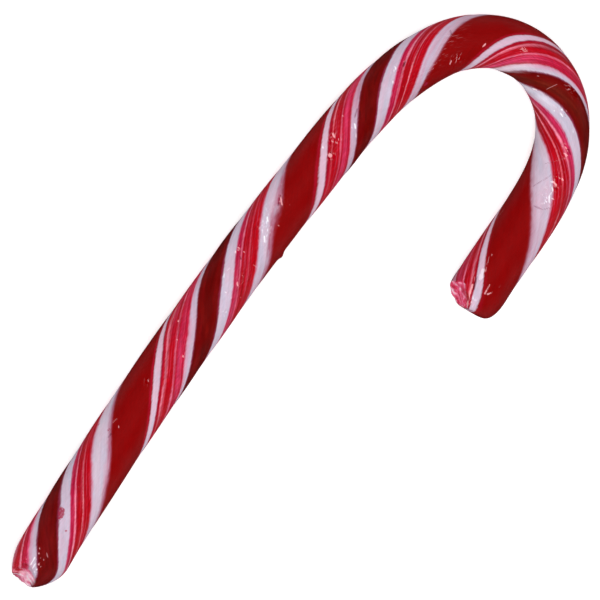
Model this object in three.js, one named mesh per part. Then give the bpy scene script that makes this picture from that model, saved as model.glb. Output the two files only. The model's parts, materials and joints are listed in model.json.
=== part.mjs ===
/*
 * Candy cane: one thick rope of pulled and twisted boiled sugar, bent into a crook and cooled lying
 * on its side.
 *
 * Frame, in millimetres: +Z is up. The cane lies flat, its long straight shaft runs along +Y, and the
 * crook curls over to +X. The underside has a narrow flat where the warm rope settled on the cooling
 * table. The rope is first made straight along +Y, with +X towards the inside of the crook and +Z up.
 * Then its bands are twisted round it, its ends are broken and rounded, and it is bent along its
 * middle line.
 */

import * as THREE from 'three';
import { mergeVertices } from 'three/addons/utils/BufferGeometryUtils.js';

// ---- The rope -----------------------------------------------------------------------------------

const ROPE_LENGTH = 250.6; // along the middle line, from the tail of the shaft to the tip of the hook
const THICKNESS = [ // radius of the rope at places along it
  { at: 0, radius: 6.46 },
  { at: 75, radius: 6.46 },
  { at: 105, radius: 6.34 },
  { at: 184, radius: 6.26 },
  { at: 205, radius: 6.37 },
  { at: 229, radius: 6.6 },
  { at: ROPE_LENGTH, radius: 6.64 },
];
const UNDERSIDE = 6.13; // depth of the flat underside below the middle line

// Slow lumps that rolling by hand leaves. Each wave repeats every `length` along the rope and `sides`
// times round it, and starts `start` radians on.
const LUMPS = [
  { length: 57, sides: 0, start: 1.3 },
  { length: 33, sides: -1, start: 0 },
  { length: 86, sides: 2, start: 0.6 },
];
const LUMP_HEIGHT = 0.0167;

// A drop of sugar that stands up at a place along the rope, `angle` degrees from the top towards the
// inside of the crook. `reach` is its half width.
const KNOB = { at: 98.4, angle: 92, reach: 0.9, height: 0.45 };

// ---- The crook ----------------------------------------------------------------------------------

// Soft bends of the middle line. Each is centred `at` a place, spread `over` a length, and turns the
// rope by `turn` degrees, anticlockwise seen from above.
const TAIL_HEADING = 98.43; // direction of the rope at its tail, in degrees from +X
const BENDS = [
  { at: 7.3, over: 32.8, turn: -6.5 },
  { at: 48.5, over: 51.9, turn: -2.4 },
  { at: 93.4, over: 54.2, turn: -3.3 },
  { at: 161.9, over: 85.8, turn: -29.1 },
  { at: 167.7, over: 113.8, turn: -32 },
  { at: 178.2, over: 56.6, turn: -56.2 },
  { at: 203.1, over: 61, turn: -58.9 },
  { at: 244.7, over: 24.1, turn: 4.1 },
];

// ---- The twisted bands --------------------------------------------------------------------------

// Length of one whole turn of the bands, at stations spaced evenly from tail to tip.
const PITCHES = [60, 65.5, 69, 71, 63.5, 57.5, 51, 51, 68, 83, 76];
const TAIL_PHASE = -0.122; // turns of the bands round the rope at the tail

// The bands across one turn, as fractions of it. The coloured ropes of sugar stand proud of the white
// ones, each by a rounded `crown`.
const BANDS = [
  { name: 'burgundy', from: -0.02, to: 0.11, crown: 0.15 },
  { name: 'white beside the fine lines', from: 0.11, to: 0.19, crown: 0.04 },
  { name: 'fine red lines', from: 0.19, to: 0.35, crown: 0.13 },
  { name: 'broad white', from: 0.35, to: 0.46, crown: 0.04 },
  { name: 'crimson', from: 0.46, to: 0.725, crown: 0.14 },
  { name: 'narrow white', from: 0.725, to: 0.77, crown: 0.02 },
  { name: 'rose and red lines', from: 0.77, to: 0.94, crown: 0.12 },
  { name: 'thin white', from: 0.94, to: 0.98, crown: 0.02 },
];

// ---- The two ends -------------------------------------------------------------------------------

// Each end is a blunt dome, rounded over `depth`. A `bluntness` below 1 makes its face flatter. Its
// pole lies `past` the end of the measured rope and `offset` towards the inside of the crook.
// A flake has broken off and left a hollow facet. At its `middle`, counted towards the inside of the
// crook, the facet starts `start` in from the end. It leans back by `slope` towards `facing` degrees
// from the top, and it gets shallower to both sides by `hollow` times the square of the distance.
// `crumbs` is how rough it is.
const TAIL_END = {
  depth: 9.6, bluntness: 1.27, past: 0.85, offset: -2,
  start: 1.5, slope: 0.6, facing: -12, middle: -2, hollow: 0.13, crumbs: 0.4,
};
const TIP_END = {
  depth: 6.4, bluntness: 0.3, past: 0.1, offset: 1.2,
  start: 0.45, slope: 0.62, facing: 48, middle: 4.6, hollow: 0.1, crumbs: 0.4,
};
const FACET_EDGE = 0.25; // how far the edge between a facet and its dome is rounded
const FACET_FADE = 1; // how far past its dome a facet can still push the rope in

// Crumbs of a facet: pairs of crossing waves with their share of the height. Each wave has its radians
// per millimetre to the side and up, and where it starts.
const CRUMB_WAVES = [
  { share: 0.65, pair: [[1.35, 0.9, 0.4], [-0.7, 1.1, 1.57]] },
  { share: 0.35, pair: [[2.9, -1.6, 0], [0, 2.3, 1.1]] },
];

// ---- The mesh -----------------------------------------------------------------------------------

const SIDES = 50; // facets round the rope, which follow the bands
const RING_SPACING = 2.7; // between the rings along the rope
const KNOB_RINGS = 3; // close rings to each side of the knob's middle
const KNOB_RING_SPACING = 0.6; // between them
const END_RINGS = 10; // rings over each rounded end
const DOME_STEPS = 400; // steps along a dome's curve, from which its rings are chosen
const BEND_STEP = 0.5; // step of the sum that works out the middle line

const SUGAR_COLOUR = '#930a18';
const SUGAR_ROUGHNESS = 0.35;

const TURN = 2 * Math.PI;

/** Radius of the plain rope at a distance along it, eased between the stated places. */
function ropeRadius(along) {
  const place = THREE.MathUtils.clamp(along, 0, ROPE_LENGTH);
  const next = Math.max(1, THICKNESS.findIndex((each) => each.at >= place));
  const [from, to] = [THICKNESS[next - 1], THICKNESS[next]];
  return THREE.MathUtils.lerp(from.radius, to.radius, THREE.MathUtils.smoothstep(place, from.at, to.at));
}

/** Turns that the bands have made round the rope by a distance along it. */
function bandTurns(along) {
  const station = ROPE_LENGTH / (PITCHES.length - 1);
  let turns = TAIL_PHASE;
  for (let i = 0; i < PITCHES.length - 1; i++) {
    const covered = THREE.MathUtils.clamp(along - i * station, 0, station);
    const [rate, nextRate] = [1 / PITCHES[i], 1 / PITCHES[i + 1]];
    turns += covered * (rate + ((nextRate - rate) * covered) / (2 * station));
  }
  return turns;
}

/** Height of a band's rounded crown at a place across one turn, given as a fraction of the turn. */
function bandRelief(across) {
  const first = BANDS[0].from;
  const place = THREE.MathUtils.euclideanModulo(across - first, 1) + first;
  const band = BANDS.find((each) => place >= each.from && place < each.to);
  const part = (place - band.from) / (band.to - band.from);
  return band.crown * Math.sqrt(Math.sin(Math.PI * part));
}

/** Slow lumps of the hand-rolled rope, at a distance along it and an angle round it. */
function ropeLumps(along, angle) {
  let height = 0;
  for (const { length, sides, start } of LUMPS) {
    height += Math.sin((TURN * along) / length + sides * angle + start);
  }
  return LUMP_HEIGHT * height;
}

/** Height of the knob at a distance along the rope and an angle round it. */
function knobHeight(along, angle) {
  const turned = angle - THREE.MathUtils.degToRad(KNOB.angle);
  const aside = (THREE.MathUtils.euclideanModulo(turned + Math.PI, TURN) - Math.PI) * ropeRadius(along);
  return KNOB.height * Math.exp(-((along - KNOB.at) ** 2 + aside ** 2) / KNOB.reach ** 2);
}

/** Roughness of a broken facet at a place on the end face, between -1 and 1. */
function crumbs(x, z) {
  let height = 0;
  for (const { share, pair } of CRUMB_WAVES) {
    const [first, second] = pair.map(([side, up, start]) => Math.sin(side * x + up * z + start));
    height += share * first * second;
  }
  return height;
}

/** How far in from the rope's end a place of the dome is once the flake has broken off. */
function brokenGap(end, gap, x, z) {
  const facing = THREE.MathUtils.degToRad(end.facing);
  const leaning = end.start + end.slope * (x * Math.sin(facing) + z * Math.cos(facing));
  const facet = leaning - end.hollow * (x - end.middle) ** 2 + end.crumbs * crumbs(x, z);
  return (gap + facet + Math.hypot(gap - facet, FACET_EDGE)) / 2;
}

/** Rings over one rounded end, spaced evenly along its curve from the pole, with their share of the
 * radius. */
function endRings(end) {
  const curve = [];
  for (let i = 0; i <= DOME_STEPS; i++) {
    const turn = ((Math.PI / 2) * i) / DOME_STEPS;
    const gap = end.depth * (1 - Math.cos(turn)) - end.past;
    const ring = { gap, share: Math.sin(turn) ** end.bluntness };
    const before = curve.at(-1) ?? { ...ring, length: 0 };
    const step = Math.hypot(ring.gap - before.gap, (ring.share - before.share) * THICKNESS[0].radius);
    curve.push({ ...ring, length: before.length + step });
  }
  const whole = curve.at(-1).length;
  return Array.from({ length: END_RINGS + 1 }, (_, i) =>
    curve.find((ring) => ring.length >= (whole * i) / END_RINGS) ?? curve.at(-1));
}

/** Places of the rings between the two rounded ends, closer together at the knob. */
function middleRings(from, to) {
  const count = Math.round((to - from) / RING_SPACING);
  const even = [];
  for (let i = 1; i < count; i++) {
    even.push(THREE.MathUtils.lerp(from, to, i / count));
  }
  const close = [];
  for (let i = -KNOB_RINGS; i <= KNOB_RINGS; i++) {
    close.push(KNOB.at + i * KNOB_RING_SPACING);
  }
  const apart = even.filter((along) => Math.abs(along - KNOB.at) > (KNOB_RINGS + 1) * KNOB_RING_SPACING);
  return [...apart, ...close].sort((a, b) => a - b);
}

/** Profile of the straight rope, from the pole of its tail to the pole of its tip. */
function ropeProfile() {
  const tail = endRings(TAIL_END).map(({ gap, share }) => [share, gap]);
  const tip = endRings(TIP_END).map(({ gap, share }) => [share, ROPE_LENGTH - gap]).reverse();
  const middle = middleRings(tail.at(-1)[1], tip[0][1]).map((along) => [1, along]);
  const rings = [...tail, ...middle, ...tip];
  return rings.map(([share, along]) => new THREE.Vector2(share * ropeRadius(along), along));
}

/** The middle line of the cane, as points and headings every BEND_STEP. */
function middleLine() {
  const points = [];
  const place = new THREE.Vector2(0, 0);
  let heading = THREE.MathUtils.degToRad(TAIL_HEADING);
  for (let along = 0; along <= ROPE_LENGTH + BEND_STEP; along += BEND_STEP) {
    points.push({ x: place.x, y: place.y, heading });
    const middle = along + BEND_STEP / 2;
    let turned = 0;
    for (const bend of BENDS) {
      const part = (middle - bend.at) / bend.over;
      if (Math.abs(part) > 0.5) continue;
      const rate = THREE.MathUtils.degToRad(bend.turn) / bend.over;
      turned += rate * (1 + Math.cos(TURN * part)) * BEND_STEP;
    }
    const between = heading + turned / 2;
    place.x += Math.cos(between) * BEND_STEP;
    place.y += Math.sin(between) * BEND_STEP;
    heading += turned;
  }
  return points;
}

/** Twists the bands round one vertex of the straight rope, gives it their relief and breaks the ends. */
function shapeVertex(vertex) {
  const along = vertex.y;
  const round = Math.atan2(vertex.x, vertex.z) / TURN;
  const angle = TURN * (round - bandTurns(along));
  const full = ropeRadius(along);
  const share = Math.hypot(vertex.x, vertex.z) / full;
  const radius = share * (full + bandRelief(round) + ropeLumps(along, angle) + knobHeight(along, angle));
  vertex.x = radius * Math.sin(angle);
  vertex.z = radius * Math.cos(angle);
  for (const [end, gap, inwards] of [[TAIL_END, along, 1], [TIP_END, ROPE_LENGTH - along, -1]]) {
    const rim = end.depth - end.past;
    if (gap < rim) vertex.x += end.offset * (1 - share);
    const nearness = 1 - THREE.MathUtils.smoothstep(gap, rim, end.depth + FACET_FADE);
    vertex.y += inwards * nearness * (brokenGap(end, gap, vertex.x, vertex.z) - gap);
  }
}

/** Carries one vertex of the straight rope to the bent cane, and settles it on the flat underside. */
function bendVertex(vertex, line) {
  const place = THREE.MathUtils.clamp(vertex.y, 0, ROPE_LENGTH) / BEND_STEP;
  const index = Math.min(Math.floor(place), line.length - 2);
  const [from, to] = [line[index], line[index + 1]];
  const part = place - index;
  const heading = THREE.MathUtils.lerp(from.heading, to.heading, part);
  const across = vertex.x;
  const beyond = vertex.y - THREE.MathUtils.clamp(vertex.y, 0, ROPE_LENGTH);
  const [alongX, alongY] = [Math.cos(heading), Math.sin(heading)];
  vertex.x = THREE.MathUtils.lerp(from.x, to.x, part) + across * alongY + beyond * alongX;
  vertex.y = THREE.MathUtils.lerp(from.y, to.y, part) - across * alongX + beyond * alongY;
  vertex.z = Math.max(vertex.z, -UNDERSIDE) + UNDERSIDE;
}

/** Splits each four-sided facet along the diagonal that lies closer to the run of the rope. */
function splitAlongRope(lathe) {
  const index = lathe.getIndex();
  for (let i = 0; i < index.count; i += 6) {
    const [a, b, d, c] = [0, 1, 2, 3].map((corner) => index.getX(i + corner));
    [a, b, c, a, c, d].forEach((corner, k) => index.setX(i + k, corner));
  }
}

/** The whole cane as one closed body, standing on z = 0 with the middle of its box at x = y = 0. */
function caneGeometry() {
  const lathe = new THREE.LatheGeometry(ropeProfile(), SIDES);
  splitAlongRope(lathe);
  lathe.deleteAttribute('normal');
  lathe.deleteAttribute('uv');
  const geometry = mergeVertices(lathe, 1e-4);
  const line = middleLine();
  const positions = geometry.getAttribute('position');
  const vertex = new THREE.Vector3();
  for (let i = 0; i < positions.count; i++) {
    vertex.fromBufferAttribute(positions, i);
    shapeVertex(vertex);
    bendVertex(vertex, line);
    positions.setXYZ(i, vertex.x, vertex.y, vertex.z);
  }
  geometry.computeBoundingBox();
  const middle = geometry.boundingBox.getCenter(new THREE.Vector3());
  geometry.translate(-middle.x, -middle.y, -geometry.boundingBox.min.z);
  geometry.computeVertexNormals();
  return geometry;
}

/** Hard pulled sugar, in the red that most of the cane shows. */
function pulledSugar() {
  return new THREE.MeshStandardMaterial({
    color: new THREE.Color(SUGAR_COLOUR),
    roughness: SUGAR_ROUGHNESS,
    metalness: 0,
  });
}

const candyCane = new THREE.Mesh(caneGeometry(), pulledSugar());
candyCane.name = 'candy_cane';

const group = new THREE.Group();
group.add(candyCane);

export default group;
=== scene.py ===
"""A candy cane: one thick rope of pulled and twisted boiled sugar, bent into a crook, lying on its side.

The rope is first made straight along +Y, with +X towards the inside of the crook and +Z up. It is sculpted
there, twisted, bent along its middle line, and set on the flat underside that it cooled on. Lengths along
the rope count from its tail, at the foot of the shaft. Angles round it count from the top towards the
inside of the crook. Sizes are in millimetres until a mesh takes them in metres.
"""

import json
import logging
import math
from dataclasses import dataclass, field
from enum import Enum
from typing import Any, Callable

import bmesh
import bpy
import numpy as np
from mathutils import Matrix, Vector, noise

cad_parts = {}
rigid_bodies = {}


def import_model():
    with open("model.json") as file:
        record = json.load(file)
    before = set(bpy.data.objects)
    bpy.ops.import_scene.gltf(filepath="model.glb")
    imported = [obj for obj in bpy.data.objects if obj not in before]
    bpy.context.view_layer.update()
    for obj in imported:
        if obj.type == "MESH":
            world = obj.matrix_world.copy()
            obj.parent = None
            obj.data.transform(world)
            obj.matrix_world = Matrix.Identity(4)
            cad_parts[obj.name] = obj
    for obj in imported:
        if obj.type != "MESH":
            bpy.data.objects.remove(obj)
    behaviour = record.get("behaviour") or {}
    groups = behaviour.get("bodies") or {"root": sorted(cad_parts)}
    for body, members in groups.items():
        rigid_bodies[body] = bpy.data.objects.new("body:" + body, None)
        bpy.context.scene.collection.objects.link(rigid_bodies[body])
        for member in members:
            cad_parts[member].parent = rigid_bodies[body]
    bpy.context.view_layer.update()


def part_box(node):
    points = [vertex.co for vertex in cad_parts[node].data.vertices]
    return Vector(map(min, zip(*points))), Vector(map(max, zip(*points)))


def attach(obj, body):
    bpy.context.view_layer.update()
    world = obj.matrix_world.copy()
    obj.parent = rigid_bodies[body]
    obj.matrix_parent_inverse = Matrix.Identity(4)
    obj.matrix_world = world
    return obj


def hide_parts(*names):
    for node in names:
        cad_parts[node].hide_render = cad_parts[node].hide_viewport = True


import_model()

MM = 0.001
TURN = 2 * math.pi
ROPE_LENGTH = 250.6
PLAIN_RADIUS = 6.6
LOG = logging.getLogger("candy_cane")


def linear_colour(code: str) -> tuple[float, float, float, float]:
    """Turns an sRGB hex colour to linear light.

    Args:
        code: six hex digits after a hash sign.

    Returns:
        Red, green, blue and an alpha of 1.
    """
    channels = [int(code[i : i + 2], 16) / 255 for i in (1, 3, 5)]
    linear = [c / 12.92 if c <= 0.04045 else ((c + 0.055) / 1.055) ** 2.4 for c in channels]
    return (*linear, 1.0)


def smoothstep(value: np.ndarray, low: float, high: float) -> np.ndarray:
    """Eases from 0 at low to 1 at high.

    Args:
        value: where to read the step.
        low: where it starts.
        high: where it ends.

    Returns:
        The eased share at each value.
    """
    part = np.clip((value - low) / (high - low), 0, 1)
    return part * part * (3 - 2 * part)


def smooth_noise(points: np.ndarray, seed: float) -> np.ndarray:
    """Reads smooth gradient noise of about unit grain.

    Args:
        points: one row of three coordinates for each place.
        seed: shifts the pattern, so that two readings differ.

    Returns:
        A value between about -1 and 1 for each place.
    """
    shift = Vector((seed, -seed, 2 * seed))
    return np.array([noise.noise(Vector(point) + shift) for point in points.tolist()])


def add_node(
    tree: bpy.types.NodeTree, kind: str, settings: dict[str, Any], inputs: dict[Any, Any]
) -> bpy.types.Node:
    """Adds a shader node with its settings, constants and links.

    Args:
        tree: the material's node tree.
        kind: the node's type name.
        settings: properties to set on the node.
        inputs: input sockets by name or number, each given a constant or the socket to link from.

    Returns:
        The new node.
    """
    node = tree.nodes.new(kind)
    for name, value in settings.items():
        setattr(node, name, value)
    for name, value in inputs.items():
        if isinstance(value, bpy.types.NodeSocket):
            tree.links.new(value, node.inputs[name])
        else:
            node.inputs[name].default_value = value
    return node


# ---- The rope ----------------------------------------------------------------------------------------


@dataclass(frozen=True)
class Bend:
    """A soft bend of the middle line, anticlockwise seen from above."""

    at: float
    over: float
    turn: float


@dataclass(frozen=True)
class Swerve:
    """A stretch where the bands wander round the rope, by a share of a turn."""

    at: float
    across: float
    reach: float
    width: float
    shift: float


@dataclass(frozen=True)
class Crown:
    """A band of the twisted rope that stands a little proud, between two places across one turn."""

    start: float
    stop: float
    height: float


@dataclass
class Rope:
    """The rope's length, thickness, bends and twist."""

    length: float = ROPE_LENGTH
    thick_at: tuple[float, ...] = (0, 75, 105, 184, 205, 229, ROPE_LENGTH)
    radii: tuple[float, ...] = (6.46, 6.46, 6.34, 6.26, 6.37, 6.60, 6.64)
    underside: float = 6.13
    unevenness: float = 0.05
    tail_heading: float = 98.43
    # The tail's heading, the bends and the pitches are rounded from fits by a program.
    bends: tuple[Bend, ...] = (
        Bend(at=7.3, over=32.8, turn=-6.5),
        Bend(at=48.5, over=51.9, turn=-2.4),
        Bend(at=93.4, over=54.2, turn=-3.3),
        Bend(at=161.9, over=85.8, turn=-29.1),
        Bend(at=167.7, over=113.8, turn=-32.0),
        Bend(at=178.2, over=56.6, turn=-56.2),
        Bend(at=203.1, over=61.0, turn=-58.9),
        Bend(at=244.7, over=24.1, turn=4.1),
    )
    pitches: tuple[float, ...] = (60, 65.5, 69, 71, 63.5, 57.5, 51, 51, 68, 83, 76)
    tail_phase: float = -0.122
    step: float = 0.25
    # Each row: where the band starts and stops across one turn, and how proud it stands.
    crowns: tuple[Crown, ...] = tuple(Crown(*row) for row in (
        (-0.02, 0.11, 0.15), (0.11, 0.19, 0.04), (0.19, 0.35, 0.13), (0.35, 0.46, 0.04),
        (0.46, 0.725, 0.14), (0.725, 0.77, 0.02), (0.77, 0.94, 0.12), (0.94, 0.98, 0.02),
    ))
    # Each row: its distance from the tail, its place across one turn, how far it reaches along and across,
    # and its shift as a share of a turn. 34 rows are rounded from a fit by a program, and 18 are given one
    # by one.
    swerves: tuple[Swerve, ...] = tuple(Swerve(*row) for row in (
        (0, 0.63, 2, 0.05, 0.1), (1, 0.7, 2.5, 0.07, 0.07), (1, 0.84, 1.5, 0.05, 0.05),
        (2, 0.89, 4, 0.04, 0.027), (5, 0.75, 4, 0.05, 0.035), (6, 0.26, 6, 0.07, 0.015),
        (11, 0.91, 7, 0.03, 0.016), (18, 0.14, 8, 0.05, 0.004), (20, 0.17, 4, 0.03, -0.024),
        (24, 0.45, 4, 0.03, 0.012), (30, 0.463, 4, 0.03, 0.006), (37, 0.33, 7, 0.03, 0.018),
        (37, 0.465, 4, 0.03, -0.012), (53, 0.8, 4, 0.03, 0.011), (57, 0.94, 5, 0.03, -0.011),
        (64, 0.9, 4, 0.03, 0.01), (66, 0.935, 3, 0.03, 0.005), (71, 0.76, 5, 0.03, 0.023),
        (75, 0.98, 5, 0.03, -0.004), (81, 0.01, 4, 0.09, 0.016), (85, 0.205, 4, 0.03, -0.006),
        (101, 0.42, 6, 0.04, 0.024), (102, 0.46, 4, 0.03, 0.007), (108, 0.51, 5, 0.04, -0.022),
        (114, 0.78, 5, 0.06, -0.015), (117, 0.71, 5, 0.04, 0.019), (120, 1, 6, 0.05, -0.041),
        (129, 0.98, 8, 0.03, 0.003), (132, 0.775, 4, 0.03, 0.005), (134, 0.935, 3, 0.03, 0.005),
        (137, 0.88, 4, 0.03, 0.012), (143, 0.06, 4, 0.09, 0.019), (151, 0.37, 4, 0.03, -0.022),
        (152, 0.43, 4, 0.04, 0.029), (164, 0.79, 8, 0.03, -0.014), (168, 0.43, 4, 0.03, 0.021),
        (176, 0.728, 2, 0.02, 0.008), (179, 0.28, 11, 0.09, -0.067), (180, 0.02, 9, 0.05, -0.037),
        (181, 0.985, 3, 0.02, 0.01), (184, 0.77, 4, 0.03, 0.012), (194, 0.99, 4, 0.03, 0.021),
        (200, 0.207, 5, 0.03, -0.002), (201, 0.45, 4, 0.08, -0.036), (203, 0.27, 6, 0.04, -0.009),
        (209, 0.12, 5, 0.08, -0.03), (211, 0.18, 10, 0.06, 0.023), (215, 0.53, 9, 0.07, -0.052),
        (227, 0.34, 4, 0.04, -0.021), (227, 0.73, 11, 0.04, -0.028), (242, 0.98, 4, 0.04, -0.034),
        (251, 0.79, 4, 0.05, -0.038),
    ))

    def radius(self, along: np.ndarray) -> np.ndarray:
        """Gives the plain rope's radius, eased between the stated places.

        Args:
            along: distances from the tail.

        Returns:
            The radius at each of them.
        """
        result = np.full_like(along, self.radii[0])
        for i in range(1, len(self.radii)):
            rise = self.radii[i] - self.radii[i - 1]
            result += rise * smoothstep(along, self.thick_at[i - 1], self.thick_at[i])
        return result

    def turns(self, along: np.ndarray) -> np.ndarray:
        """Gives the turns that the bands have made round the rope.

        Args:
            along: distances from the tail.

        Returns:
            The turns at each of them.
        """
        places = np.arange(0, self.length + self.step, self.step)
        stations = np.linspace(0, self.length, len(self.pitches))
        pitch_rates = np.interp(places, stations, 1 / np.array(self.pitches))
        sums = np.concatenate([[0], np.cumsum((pitch_rates[1:] + pitch_rates[:-1]) / 2 * self.step)])
        return self.tail_phase + np.interp(along, places, sums)

    def wander(self, along: np.ndarray, across: np.ndarray) -> np.ndarray:
        """Gives how far the bands wander from an even twist.

        Args:
            along: distances from the tail.
            across: places across one turn of the bands.

        Returns:
            The shift at each place, as a share of a turn.
        """
        total = np.zeros_like(along)
        for each in self.swerves:
            aside = (across - each.across + 0.5) % 1 - 0.5
            near = ((along - each.at) / each.reach) ** 2 + (aside / each.width) ** 2
            total += each.shift * np.exp(-near / 2)
        return total

    def relief(self, across: np.ndarray) -> np.ndarray:
        """Gives the height of the bands' rounded crowns.

        Args:
            across: places across one turn of the bands.

        Returns:
            The height at each of them.
        """
        first = self.crowns[0].start
        place = (across - first) % 1 + first
        height = np.zeros_like(place)
        for crown in self.crowns:
            part = np.clip((place - crown.start) / (crown.stop - crown.start), 0, 1)
            height += crown.height * np.sqrt(np.sin(math.pi * part) * ((part > 0) & (part < 1)))
        return height

    def lumps(self, along: np.ndarray, angle: np.ndarray) -> np.ndarray:
        """Gives the slow lumps that rolling by hand leaves.

        Args:
            along: distances from the tail.
            angle: angles round the rope, in radians.

        Returns:
            The height at each place.
        """
        swell_run, roll_run, squash_run = 9.1, 5.3, 13.7  # along the rope for one radian of each wave
        swell = np.sin(along / swell_run + 1.3) + np.sin(along / roll_run - angle)
        squash = np.sin(along / squash_run + 2 * angle + 0.6)
        return self.unevenness * (swell + squash) / 3

    def middle_line(self) -> np.ndarray:
        """Works out the middle line of the bent rope.

        Returns:
            One row of x, y for each step along the rope.
        """
        count = round(self.length / self.step)
        middles = (np.arange(count) + 0.5) * self.step
        turned = np.zeros(count)
        for bend in self.bends:
            part = (middles - bend.at) / bend.over
            rate = math.radians(bend.turn) / bend.over * (1 + np.cos(TURN * part))
            turned += np.where(np.abs(part) < 0.5, rate, 0) * self.step
        heading = math.radians(self.tail_heading) + np.cumsum(turned) - turned / 2
        steps = np.column_stack([np.cos(heading), np.sin(heading)]) * self.step
        return np.vstack([[0, 0], np.cumsum(steps, axis=0)])


@dataclass(frozen=True)
class RopeEnd:
    """One end of the rope: a blunt dome with its pole off centre, and a hollow where a flake broke off.

    The dome's pole lies a little past the end of the measured rope. The hollow starts some way in from the
    pole on its middle, leans by its slope towards an angle round the rope, and gets shallower to both
    sides.
    """

    depth: float
    bluntness: float
    offset: float
    past: float
    start: float
    slope: float
    facing: float
    middle: float
    hollow: float
    lumps: float
    edge: float = 0.25
    rim: tuple[float, float] = (-0.15, 0.45)
    rings: int = 34
    samples: int = 400

    def ring_sizes(self) -> list[tuple[float, float]]:
        """Spaces the rings evenly along the dome's curve, from the full rope to the pole.

        Returns:
            For each ring its distance from the rope's end, and its share of the rope's radius.
        """
        turn = np.linspace(0, math.pi / 2, self.samples)
        gap = self.depth * (1 - np.cos(turn)) - self.past
        share = np.sin(turn) ** self.bluntness
        steps = np.hypot(np.diff(gap), np.diff(share) * PLAIN_RADIUS)
        length = np.concatenate([[0], np.cumsum(steps)])
        even = np.linspace(length[-1], 0, self.rings + 1)
        return list(zip(np.interp(even, length, gap), np.interp(even, length, share)))

    def crumbs(self, x: np.ndarray, z: np.ndarray) -> np.ndarray:
        """Gives the roughness of the broken facet, between about -1 and 1."""
        coarse = np.sin(1.35 * x + 0.9 * z + 0.4) * np.cos(1.1 * z - 0.7 * x)
        fine = np.sin(2.9 * x - 1.6 * z) * np.sin(2.3 * z + 1.1)
        return 0.65 * coarse + 0.35 * fine

    def break_off(self, gap: np.ndarray, x: np.ndarray, z: np.ndarray) -> tuple[np.ndarray, np.ndarray]:
        """Breaks the dome off along the facet.

        Args:
            gap: how far in from the rope's end each place of the dome is.
            x: places across the end, towards the inside of the crook.
            z: places up the end.

        Returns:
            How far in each place is after the break, and how much of the facet is there, from 0 to 1.
        """
        facing = math.radians(self.facing)
        plane = self.start + self.slope * (x * math.sin(facing) + z * math.cos(facing))
        plane = plane - self.hollow * (x - self.middle) ** 2 + self.lumps * self.crumbs(x, z)
        joined = (gap + plane + np.sqrt((gap - plane) ** 2 + self.edge**2)) / 2
        return joined, smoothstep(plane - gap, *self.rim)


# The tail's depth, bluntness, offset and past are rounded from a fit by a program. The tip's were chosen
# beside fits of that kind, and equal none of them.
TAIL_END = RopeEnd(
    depth=9.6, bluntness=1.27, offset=-2.0, past=0.85,
    start=1.5, slope=0.6, facing=-12, middle=-2.0, hollow=0.13, lumps=0.4,
)
TIP_END = RopeEnd(
    depth=6.4, bluntness=0.30, offset=1.2, past=0.1,
    start=0.45, slope=0.62, facing=48, middle=4.6, hollow=0.10, lumps=0.4,
)


# ---- Marks of handling -------------------------------------------------------------------------------


class MarkKind(Enum):
    """What a mark on the sugar is."""

    KNOB = "a smooth drop of sugar that stands up"
    DENT = "a smooth hollow"
    # Its wrinkles are real relief. Its pale flecks are partly the white of crazed sugar and partly painted
    # highlights for glints.
    CRINKLE = "a patch of small bright wrinkles and flakes"
    # Painted highlight: a pale stroke of colour stands for the lamp's glint off the lip of a nick. It adds
    # no relief, only the colour and a glossier skin.
    PAINTED_GLINT = "one bright sliver, the raised lip of a nick"
    CRACK = "a hairline crack"
    SCUFF = "fine scratches"
    SMEAR = "a smear of red dye"


@dataclass(frozen=True)
class Mark:
    """One mark: where it is, its half length and half width, and how far it is turned.

    The amount is the height of a knob, a dent or a crinkle, and the strength of any other mark's colour.
    """

    kind: MarkKind
    at: float
    angle: float
    reach: float
    width: float
    lean: float = 0
    amount: float = 1


STOUT_GLINT = 0.125


def painted_glint_stroke(at: float, angle: float, reach: float, width: float, lean: float) -> Mark:
    """Makes a painted highlight, a pale stroke standing for the glint off a nick, fainter where it is fine
    than where it is stout.

    Args:
        at: its distance from the tail.
        angle: its angle round the rope.
        reach: its half length.
        width: its half width.
        lean: how far it is turned.

    Returns:
        The painted highlight.
    """
    strength = 0.75 if width >= STOUT_GLINT else 0.5
    return Mark(MarkKind.PAINTED_GLINT, at, angle, reach, width, lean, strength)
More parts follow.
